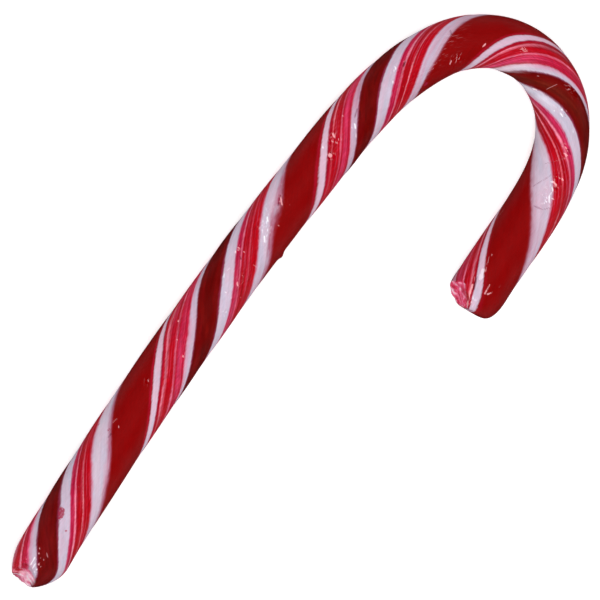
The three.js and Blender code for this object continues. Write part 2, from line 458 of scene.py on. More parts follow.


# Each place is a distance from the tail, an angle, a half length, a half width and a lean, then an amount.
# The places of painted glints, cracks and smears were worked out by a program from points picked one by
# one.
MARKS: tuple[Mark, ...] = (
    *(Mark(MarkKind.KNOB, *place) for place in (
        (98.4, 92, 0.9, 0.9, 0, 0.45), (100.5, -10, 1.1, 0.8, 30, 0.16), (103.8, -4, 1.3, 0.7, 40, 0.18),
        (106.6, -14, 1, 0.8, 0, 0.16), (86, -14, 0.9, 0.7, 0, 0.1), (181.5, 26, 1.2, 0.8, 0, 0.14),
        (190.5, 38, 1, 0.8, 0, 0.14), (208.5, 20, 1.6, 0.9, 20, 0.14), (212.5, 4, 1.4, 1, 0, 0.16),
        (217.5, -6, 1.5, 1, 0, 0.16), (221.5, -16, 1.6, 0.7, 0, 0.12), (249.3, 9, 0.8, 0.7, 0, 0.25),
    )),
    *(Mark(MarkKind.DENT, *place) for place in (
        (40, -20, 1, 0.5, 30, -0.1), (102.2, -8, 0.8, 1.1, 0, -0.14), (105.2, -2, 0.7, 1.1, 0, -0.14),
        (210.5, 10, 0.9, 1.4, 0, -0.14), (215, 0, 1.1, 1.6, 20, -0.18), (219.8, -11, 0.8, 1.4, 0, -0.14),
        (118, 36, 0.7, 0.5, 0, -0.08), (144, -50, 0.8, 0.6, 0, -0.1),
    )),
    *(painted_glint_stroke(*place) for place in (
        (6.2, -12, 1.13, 0.15, 1), (5.2, -4, 0.95, 0.13, -1), (8.1, -51, 0.44, 0.09, 51),
        (4.2, -13, 0.3, 0.13, 65), (26.9, -38, 0.27, 0.11, 50), (25.4, -27, 0.15, 0.1, -90),
        (26.4, -14, 0.31, 0.09, -55), (30.3, -25, 0.14, 0.09, -69), (56.4, -15, 0.15, 0.13, 60),
        (65.6, 16, 0.33, 0.19, 58), (71.7, -36, 0.39, 0.15, 50), (68, -14, 0.3, 0.13, 41),
        (93.8, -23, 0.42, 0.21, 76), (92.6, -23, 0.42, 0.17, 73), (93.8, -8, 0.29, 0.13, 70),
        (92.7, 30, 0.71, 0.12, -80), (89.2, 19, 0.18, 0.15, 82), (92.2, -7, 0.2, 0.13, 68),
        (86.8, 21, 0.62, 0.15, 47), (83.4, 28, 0.2, 0.13, 60), (84.7, 47, 0.19, 0.12, 83),
        (88.3, -13, 0.62, 0.15, -13), (86.6, -12, 0.77, 0.12, 33), (83.6, 11, 0.34, 0.17, 81),
        (79.5, 30, 0.33, 0.15, -47), (99.1, 10, 0.95, 0.17, 43), (103.2, -11, 0.73, 0.19, 50),
        (108.7, -13, 1.03, 0.13, 49), (107.9, -5, 0.2, 0.19, -90), (111.6, -37, 0.25, 0.11, 79),
        (114.7, -53, 0.3, 0.12, 80), (103.6, 16, 0.21, 0.14, 76), (109, 7, 0.14, 0.09, 69),
        (116.9, 34, 0.9, 0.11, -27), (124.1, 9, 0.65, 0.37, 63), (123.5, 6, 0.19, 0.11, -39),
        (128.2, -12, 0.81, 0.21, 65), (127.4, 3, 0.38, 0.15, -86), (124.4, -14, 0.42, 0.17, 50),
        (133, -24, 0.28, 0.13, 57), (133.1, 10, 0.84, 0.19, 53), (132.3, 7, 0.2, 0.13, 68),
        (131.6, 25, 0.62, 0.12, 47), (148.1, 23, 0.19, 0.11, -82), (156, 30, 0.8, 0.13, 0),
        (152.9, 32, 0.38, 0.1, 30), (149.3, -18, 0.54, 0.15, 71), (146.8, 2, 0.5, 0.13, 56),
        (151.8, -18, 0.41, 0.11, 23), (170.9, 11, 0.67, 0.15, 48), (161.4, 35, 0.78, 0.13, 45),
        (180.6, -6, 0.42, 0.17, -27), (180.9, -1, 0.67, 0.11, 44), (187.4, 20, 0.46, 0.12, 36),
        (191.5, 7, 1.55, 0.09, 89), (193.6, -29, 0.19, 0.11, 20), (198, -8, 0.28, 0.11, 28),
        (202.6, -21, 0.45, 0.11, 20), (206.3, -9, 0.41, 0.15, 57), (209.4, -2, 1.52, 0.09, -55),
        (207.8, -12, 0.63, 0.15, 67), (216.3, 0, 0.71, 0.09, -56), (218.1, -22, 0.43, 0.17, 90),
        (216.9, -33, 0.15, 0.09, 81), (190, 45, 0.91, 0.21, 46), (227.8, 63, 1.81, 0.1, -5),
        (236.8, 19, 0.39, 0.12, 16), (238.3, 19, 0.98, 0.09, 19), (240.3, 12, 0.72, 0.09, 26),
        (246.7, 14, 2.02, 0.21, 15), (244.1, -12, 1.38, 0.15, 4), (244.6, -21, 0.76, 0.15, -35),
        (241.9, -31, 0.52, 0.08, -17), (243.7, 21, 0.61, 0.09, 25),
    )),
    *(Mark(MarkKind.PAINTED_GLINT, *place) for place in (
        (9.6, -13, 0.23, 0.15, 15, 1), (8.5, -9, 0.23, 0.15, 31, 1), (7.8, -1, 0.16, 0.13, 81, 0.6),
        (7.8, 6, 0.19, 0.13, 59, 0.8), (6.1, 3, 0.19, 0.15, 50, 0.9), (6.4, 2, 0.46, 0.09, -22, 0.45),
        (6, 9, 0.17, 0.15, 73, 0.9), (4.9, 6, 0.24, 0.15, 20, 1), (4.1, 5, 0.18, 0.15, 5, 1),
        (9.2, 7, 0.72, 0.07, 40, 0.45), (1.7, 20, 0.2, 0.15, 75, 1), (5.9, -27, 0.15, 0.15, 58, 0.7),
        (44.1, -26, 0.8, 0.12, -15, 0.6), (43.5, -11, 0.39, 0.11, 34, 0.7),
        (197.5, 17, 0.29, 0.15, 17, 0.9), (197.5, 1, 0.33, 0.19, 26, 0.9),
        (198.7, 3, 0.66, 0.17, 30, 0.9), (208.5, -13, 0.35, 0.11, -50, 0.8),
        (214.7, -5, 0.48, 0.21, -72, 0.8), (214.9, -13, 0.52, 0.17, 65, 0.8),
        (213.3, -22, 0.41, 0.19, 56, 0.8), (216.1, -11, 0.6, 0.13, 41, 0.85),
        (217.2, -13, 0.62, 0.15, -15, 0.85), (218.5, -15, 0.87, 0.15, 31, 0.85),
        (241.8, 14, 1.5, 0.45, 19, 0.5), (250.15, 4, 0.5, 0.42, 0, 1),
    )),
    *(Mark(MarkKind.CRACK, *place, amount=0.8) for place in (
        (216.7, 22, 1.44, 0.2, -32), (214.4, 9, 1.24, 0.18, -32), (210.8, 17, 1.14, 0.14, -61),
        (209.2, -4, 1.8, 0.1, -53), (221.6, -3, 1.06, 0.16, -86), (220.8, -20, 1.1, 0.16, -49),
        (40.6, -17, 0.75, 0.26, -6), (27.5, -60, 0.47, 0.2, -16), (151.4, -13, 0.83, 0.22, 33),
        (244.4, 15, 1.68, 0.26, 20), (192.4, -1, 0.73, 0.14, -66), (163.8, -28, 0.91, 0.16, -90),
        (183.3, -90, 0.67, 0.12, 0), (92.2, -6, 0.6, 0.12, 48), (135.6, -7, 1.25, 0.22, 26),
        (135.8, 2, 1.19, 0.14, 43), (150.6, 63, 0.97, 0.2, 32), (250.4, -13, 0.87, 0.18, -78),
        (124.1, 9, 1.07, 0.16, 20), (108.4, -16, 1.45, 0.15, 27), (215.7, -17, 0.58, 0.14, 72),
        (207, -18, 0.87, 0.13, 39), (198.8, -4, 0.71, 0.12, 11),
    )),
    *(Mark(MarkKind.SMEAR, *place, amount=0.9) for place in (
        (20, -16, 0.87, 0.5, 73), (18.6, -10, 0.96, 0.5, -7), (19.3, -15, 0.75, 0.75, -62),
        (16.3, 15, 0.3, 0.3, -71), (15.5, 4, 0.16, 0.16, -79), (41.2, -58, 0.35, 0.26, -21),
        (27.8, -59, 0.16, 0.14, -24), (108.5, -17, 1.33, 0.34, 32), (41.6, -26, 0.49, 0.26, -13),
        (153, 56, 0.72, 0.4, 29), (208.5, 90, 0.28, 0.2, 0),
    )),
    *(Mark(MarkKind.CRINKLE, *place) for place in (
        (56, -16, 0.6, 0.5, 0, 0.04), (79.5, 38, 1.4, 0.6, 0, 0.05), (93.5, -22, 1, 0.6, 0, 0.04),
        (102, -8, 4.2, 1.2, 32, 0.06), (108, -17, 1.3, 1, -10, 0.08), (124, 12, 1, 0.8, 0, 0.06),
        (127.5, -6, 1.8, 1, -35, 0.06), (149, -16, 0.9, 0.6, 0, 0.05), (163.5, 30, 1.2, 0.8, 0, 0.04),
        (180.5, -2, 0.9, 0.7, 0, 0.06), (194, -32, 1.4, 0.8, 30, 0.05), (207, -9, 1.6, 0.7, 20, 0.06),
        (214, -13, 1.6, 1.1, 0, 0.08), (218.5, -10, 2, 1.1, 30, 0.05), (248.5, 4, 1.2, 1.2, 0, 0.06),
    )),
    *(Mark(MarkKind.SCUFF, *place) for place in (
        (128, -20, 4, 1.6, 30), (155, 25, 4, 1.4, 10), (162.5, -10, 4.4, 2.2, 38), (87, 20, 3, 1.6, 0),
    )),
)


# ---- The cane's mesh ---------------------------------------------------------------------------------


def deselect_all() -> None:
    """Deselects every object, as the loaded parts come in selected."""
    for each in bpy.context.view_layer.objects:
        each.select_set(False)


def select_only(obj: bpy.types.Object) -> None:
    """Makes one object the only selected and the active one."""
    deselect_all()
    obj.select_set(True)
    bpy.context.view_layer.objects.active = obj


def select_edges(obj: bpy.types.Object, wanted: Callable[[bmesh.types.BMEdge], bool]) -> None:
    """Selects edges by their place, in edit mode.

    Args:
        obj: the object in edit mode.
        wanted: tells for an edge if it is to be selected.
    """
    mesh = bmesh.from_edit_mesh(obj.data)
    for element in (*mesh.verts, *mesh.faces, *mesh.edges):
        element.select = False
    for edge in mesh.edges:
        if wanted(edge):
            edge.select_set(True)
    bmesh.update_edit_mesh(obj.data)


# What the finish reads of the surface. The masks of painted glints, cracks and smears are 0.5 on their
# outline, and change evenly over a wider halo, so that the finish can draw them sharper than the mesh is
# fine. The finish reads them from the faintest value that shows, over a range up to the strongest.
FINISH_MASKS = ("broken", "bright", "glint", "cracked", "scuffed", "smeared")
SHARP_MASK = (0.41, 0.13)


@dataclass
class Surface:
    """Where each vertex of the straight rope is, and what the sculpting adds to it."""

    along: np.ndarray
    across: np.ndarray
    share: np.ndarray
    angle: np.ndarray = field(init=False)
    height: np.ndarray = field(init=False)
    broken: np.ndarray = field(init=False)
    bright: np.ndarray = field(init=False)
    glint: np.ndarray = field(init=False)
    cracked: np.ndarray = field(init=False)
    scuffed: np.ndarray = field(init=False)
    smeared: np.ndarray = field(init=False)

    def __post_init__(self) -> None:
        """Starts with a plain surface."""
        for name in ("angle", "height", *FINISH_MASKS):
            setattr(self, name, np.zeros_like(self.along))

    def add_marks(self, radius: float) -> None:
        """Adds the marks of handling to the height and to what the finish reads.

        Args:
            radius: the rope's mean radius, which turns angles to lengths.
        """
        wrinkle_grain, flake_grain, halo = 0.9, 0.45, 1.2
        faintest, reading = SHARP_MASK
        round_rope = np.column_stack([
            np.cos(self.angle) * radius, np.sin(self.angle) * radius, self.along
        ])
        sharp = {MarkKind.PAINTED_GLINT: "glint", MarkKind.CRACK: "cracked", MarkKind.SMEAR: "smeared"}
        soft = {MarkKind.CRINKLE: "bright", MarkKind.SCUFF: "scuffed"}
        for mark in MARKS:
            lean = math.radians(mark.lean)
            aside = ((self.angle - math.radians(mark.angle) + math.pi) % TURN - math.pi) * radius
            ahead = self.along - mark.at
            lengthwise = ahead * math.cos(lean) - aside * math.sin(lean)
            crosswise = ahead * math.sin(lean) + aside * math.cos(lean)
            near = np.exp(-((lengthwise / mark.reach) ** 2 + (crosswise / mark.width) ** 2))
            if mark.kind is MarkKind.CRINKLE:
                touched = np.flatnonzero(near > 0.01)
                grain = smooth_noise(round_rope[touched] / wrinkle_grain, mark.at)
                flakes = smooth_noise(round_rope[touched] / flake_grain, mark.at + 3)
                near[touched] *= 1 + 0.8 * grain
                folds = 2.2 * np.abs(grain) + 0.8 * flakes - 0.4
                self.height[touched] += mark.amount * near[touched] * folds
            elif mark.kind in (MarkKind.KNOB, MarkKind.DENT):
                self.height += mark.amount * near
            if mark.kind in sharp:
                straight = max(mark.reach - mark.width, 0)
                beyond = lengthwise - np.clip(lengthwise, -straight, straight)
                inside = 0.5 + (mark.width - np.hypot(beyond, crosswise)) / halo
                mask = getattr(self, sharp[mark.kind])
                np.maximum(mask, inside.clip(0, faintest + mark.amount * reading), out=mask)
            elif mark.kind in soft:
                mask = getattr(self, soft[mark.kind])
                np.maximum(mask, near, out=mask)


@dataclass
class CandyCane:
    """The whole cane, as one mesh that replaces the plain solid."""

    rope: Rope = field(default_factory=Rope)
    tail: RopeEnd = field(default_factory=lambda: TAIL_END)
    tip: RopeEnd = field(default_factory=lambda: TIP_END)
    sides: int = 132
    cuts: tuple[int, int] = (8, 71)
    plain_radius: float = PLAIN_RADIUS
    name: str = "twisted_sugar_rope"
    tail_place: Vector = field(default_factory=Vector)

    def add_rod(self) -> bpy.types.Object:
        """Adds the straight rod between the two rounded ends, and cuts it into short rings.

        Returns:
            The rod, along +Y, open at both ends.
        """
        start = (self.tail.depth - self.tail.past) * MM
        stop = (self.rope.length - self.tip.depth + self.tip.past) * MM
        deselect_all()
        bpy.ops.mesh.primitive_cylinder_add(
            vertices=self.sides,
            radius=self.plain_radius * MM,
            depth=stop - start,
            end_fill_type="NOTHING",
            location=(0, (start + stop) / 2, 0),
            rotation=(-math.pi / 2, 0, 0),
        )
        rod = bpy.context.object
        rod.name = rod.data.name = self.name
        bpy.ops.object.transform_apply(location=True, rotation=True, scale=True)
        bpy.ops.object.mode_set(mode="EDIT")
        bpy.ops.mesh.select_mode(type="EDGE")
        for cuts in self.cuts:
            select_edges(rod, lambda edge: abs(edge.verts[0].co.y - edge.verts[1].co.y) > 1e-6)
            bpy.ops.mesh.subdivide(number_cuts=cuts, smoothness=0)
        bpy.ops.object.mode_set(mode="OBJECT")
        return rod

    def close_end(self, rod: bpy.types.Object, end: RopeEnd, pole: float, outwards: int) -> None:
        """Rounds off one open end by drawing its rim out and in, ring by ring, to a pole.

        Args:
            rod: the open rod.
            end: the form of that end.
            pole: where the pole's plane is along the rope.
            outwards: 1 where the end faces +Y, -1 where it faces -Y.
        """
        rim = (pole - outwards * (end.depth - end.past)) * MM
        bpy.ops.object.mode_set(mode="EDIT")
        select_edges(rod, lambda edge: all(abs(v.co.y - rim) < 1e-6 for v in edge.verts))
        rings = end.ring_sizes()
        for (depth, share), (next_depth, next_share) in zip(rings, rings[1:]):
            ahead = outwards * (depth - next_depth) * MM
            size = max(next_share, 0.001) / share
            bpy.ops.mesh.extrude_region_move(TRANSFORM_OT_translate={"value": (0, ahead, 0)})
            bpy.ops.transform.resize(value=(size, 1, size), center_override=(0, pole * MM, 0))
        bpy.ops.mesh.merge(type="CENTER")
        bpy.ops.object.mode_set(mode="OBJECT")

    def read_surface(self, rod: bpy.types.Object) -> Surface:
        """Reads where each vertex of the straight rod is.

        Args:
            rod: the straight rod with both ends closed.

        Returns:
            The surface, still plain.
        """
        flat = np.empty(len(rod.data.vertices) * 3)
        rod.data.vertices.foreach_get("co", flat)
        x, along, z = (flat.reshape(-1, 3) / MM).T
        across = np.arctan2(x, z) / TURN
        return Surface(along=along, across=across, share=np.hypot(x, z) / self.plain_radius)

    def sculpt(self, rod: bpy.types.Object) -> Surface:
        """Gives the straight rod its bands, lumps, marks, broken ends and twist.

        Args:
            rod: the straight rod with both ends closed.

        Returns:
            The sculpted surface.
        """
        surface = self.read_surface(rod)
        rope, along = self.rope, surface.along
        surface.angle = TURN * (surface.across - rope.turns(along))
        surface.across = surface.across + rope.wander(along, surface.across)
        surface.height = rope.relief(surface.across) + rope.lumps(along, surface.angle)
        surface.add_marks(self.plain_radius)
        full = rope.radius(along)
        radius = surface.share * (full + surface.height)
        x, y, z = radius * np.sin(surface.angle), along.copy(), radius * np.cos(surface.angle)
        for end, gap, inwards in ((self.tail, along, 1), (self.tip, rope.length - along, -1)):
            x += end.offset * (1 - surface.share) * (gap < end.depth - end.past)
            broken_gap, broken = end.break_off(gap, x, z)
            nearness = 1 - smoothstep(gap, end.depth - end.past, end.depth + 1)
            y += inwards * nearness * (broken_gap - gap)
            surface.broken = np.maximum(surface.broken, broken * nearness)
        places = np.column_stack([x, y, z]) * MM
        rod.data.vertices.foreach_set("co", places.ravel())
        rod.data.update()
        return surface

    def bend(self, rod: bpy.types.Object) -> None:
        """Bends the straight rod along the rope's middle line with a curve modifier.

        Args:
            rod: the sculpted, twisted rod.
        """
        line = self.rope.middle_line()[::2] * MM
        route = bpy.data.curves.new("middle_line", "CURVE")
        route.dimensions = "3D"
        route.twist_mode = "Z_UP"
        spline = route.splines.new("POLY")
        spline.points.add(len(line) - 1)
        places = np.column_stack([line, np.zeros(len(line)), np.ones(len(line))])
        spline.points.foreach_set("co", places.ravel())
        spline.points.foreach_set("tilt", np.full(len(line), math.pi / 2))
        guide = bpy.data.objects.new("middle_line", route)
        bpy.context.scene.collection.objects.link(guide)
        select_only(rod)
        modifier = rod.modifiers.new("bend", "CURVE")
        modifier.object = guide
        modifier.deform_axis = "POS_Y"
        bpy.ops.object.modifier_apply(modifier="bend")
        bpy.data.objects.remove(guide)
        bpy.data.curves.remove(route)

    def settle(self, cane: bpy.types.Object) -> None:
        """Flattens the underside and sets the cane where the solid lies.

        Args:
            cane: the bent cane, with its middle line at z = 0 and its tail at the origin.
        """
        bottom = -self.rope.underside * MM
        bpy.ops.object.mode_set(mode="EDIT")
        bpy.ops.mesh.select_mode(type="VERT")
        mesh = bmesh.from_edit_mesh(cane.data)
        for vertex in mesh.verts:
            vertex.select_set(vertex.co.z < bottom)
        mesh.select_flush(False)
        bmesh.update_edit_mesh(cane.data)
        bpy.ops.transform.resize(value=(1, 1, 0), center_override=(0, 0, bottom))
        bpy.ops.mesh.select_all(action="SELECT")
        bpy.ops.mesh.normals_make_consistent(inside=False)
        bpy.ops.object.mode_set(mode="OBJECT")
        low, high = (np.array(corner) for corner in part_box("candy_cane"))
        corners = np.array([vertex.co for vertex in cane.data.vertices])
        shift = (low + high) / 2 - (corners.min(0) + corners.max(0)) / 2
        shift[2] = low[2] - corners.min(0)[2]
        cane.data.transform(Matrix.Translation(Vector(shift)))
        self.tail_place = Vector(shift)

    def write_attributes(self, cane: bpy.types.Object, surface: Surface) -> None:
        """Writes what the finish reads: places in millimetres, and the marks.

        "rope" is the place on the twisted bands, and "skin" is the place on the straight rod.

        Args:
            cane: the finished mesh.
            surface: its sculpted surface.
        """
        for name, turn in (("rope", surface.across * TURN), ("skin", surface.angle)):
            up, aside = np.cos(turn) * surface.share, np.sin(turn) * surface.share
            place = np.column_stack([up, aside, surface.along / self.plain_radius]) * self.plain_radius
            attribute = cane.data.attributes.new(name, "FLOAT_VECTOR", "POINT")
            attribute.data.foreach_set("vector", place.astype(np.float32).ravel())
        for name in FINISH_MASKS:
            attribute = cane.data.attributes.new(name, "FLOAT", "POINT")
            attribute.data.foreach_set("value", getattr(surface, name).astype(np.float32))

    def build(self) -> bpy.types.Object:
        """Builds the whole cane.

        Returns:
            The cane's mesh object, which stands for the solid.
        """
        rod = self.add_rod()
        self.close_end(rod, self.tail, 0, -1)
        self.close_end(rod, self.tip, self.rope.length, 1)
        surface = self.sculpt(rod)
        self.bend(rod)
        self.settle(rod)
        self.write_attributes(rod, surface)
        rod.data.shade_smooth()
        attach(rod, "root")
        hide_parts("candy_cane")
        return rod


# ---- The finish --------------------------------------------------------------------------------------


Socket = bpy.types.NodeSocket
Levels = tuple[tuple[float, float], ...]
Stops = list[tuple[float, tuple[float, ...]]]


@dataclass(frozen=True)
class Stripe:
    """A coloured stripe that starts at a place across one turn, after an edge of some softness."""

    start: float
    colour: str
    soft: float = 0.004


@dataclass(frozen=True)
class Vein:
    """A fine line of another tint inside a band, with how strong it is at places along the rope."""

    middle: float
    width: float
    colour: str
    levels: Levels


def coded_stops(*stops: tuple[float, str]) -> Stops:
    """Turns the hex colours of a ramp's stops to linear light."""
    return [(place, linear_colour(code)) for place, code in stops]


@dataclass
class SugarNodes:
    """The sugar's node tree, the two places it reads, and the few kinds of node that it is made of.

    Rope is the place on the twisted bands, and skin the place on the straight rod, both in millimetres.
    """

    tree: bpy.types.NodeTree
    rope: Socket = field(init=False)
    skin: Socket = field(init=False)

    def __post_init__(self) -> None:
        """Reads the two places."""
        self.rope = self.attribute("rope", "Vector")
        self.skin = self.attribute("skin", "Vector")

    def attribute(self, name: str, output: str = "Fac") -> Socket:
        """Reads one of the mesh's attributes."""
        return add_node(self.tree, "ShaderNodeAttribute", {"attribute_name": name}, {}).outputs[output]

    def maths(self, operation: str, *values: Any) -> Socket:
        """Does one sum on sockets or constants."""
        inputs = dict(enumerate(values))
        return add_node(self.tree, "ShaderNodeMath", {"operation": operation}, inputs).outputs[0]

    def parts(self, vector: Socket) -> list[Socket]:
        """Splits a vector into its three parts."""
        return list(add_node(self.tree, "ShaderNodeSeparateXYZ", {}, {0: vector}).outputs)

    def span(self, value: Socket, low: float, high: float, bottom: float, top: float) -> Socket:
        """Eases a value to bottom where it is low and to top where it is high."""
        ends = {"Value": value, "From Min": low, "From Max": high, "To Min": bottom, "To Max": top}
        node = add_node(self.tree, "ShaderNodeMapRange", {"interpolation_type": "SMOOTHSTEP"}, ends)
        return node.outputs["Result"]

    def grain(self, place: Socket, across: float, along: float, seed: float, detail: float = 2) -> Socket:
        """Reads drawn-out noise.

        Args:
            place: a place in millimetres, with the third part along the rope.
            across: the grain's size across the rope.
            along: its size along the rope.
            seed: shifts the pattern.
            detail: how many finer layers it has.

        Returns:
            The noise, from 0 to 1 and mostly near its middle.
        """
        mapping = add_node(self.tree, "ShaderNodeMapping", {}, {
            "Vector": place, "Location": (seed, seed, seed), "Scale": (1 / across, 1 / across, 1 / along),
        })
        inputs = {"Vector": mapping.outputs[0], "Scale": 1.0, "Detail": detail}
        return add_node(self.tree, "ShaderNodeTexNoise", {}, inputs).outputs["Fac"]

    def swing(self, grain: Socket, size: float) -> Socket:
        """Spreads noise evenly over minus and plus a size."""
        ends = {"Value": grain, "From Min": 0.25, "From Max": 0.75, "To Min": -size, "To Max": size}
        return add_node(self.tree, "ShaderNodeMapRange", {}, ends).outputs["Result"]

    def mix(self, share: Any, first: Any, second: Any) -> Socket:
        """Mixes two colours, each a socket or a hex code, by the second one's share."""
        colours = [linear_colour(each) if isinstance(each, str) else each for each in (first, second)]
        inputs = {0: share, 6: colours[0], 7: colours[1]}
        return add_node(self.tree, "ShaderNodeMix", {"data_type": "RGBA"}, inputs).outputs[2]

    def ramp(self, place: Socket, stops: Stops) -> Socket:
        """Reads a ramp of linear colours at a place from 0 to 1."""
        node = add_node(self.tree, "ShaderNodeValToRGB", {}, {"Fac": place})
        elements = node.color_ramp.elements
        for element, (position, colour) in zip(elements, (stops[0], stops[-1])):
            element.position, element.color = position, colour
        for position, colour in stops[1:-1]:
            elements.new(position).color = colour
        return node.outputs["Color"]


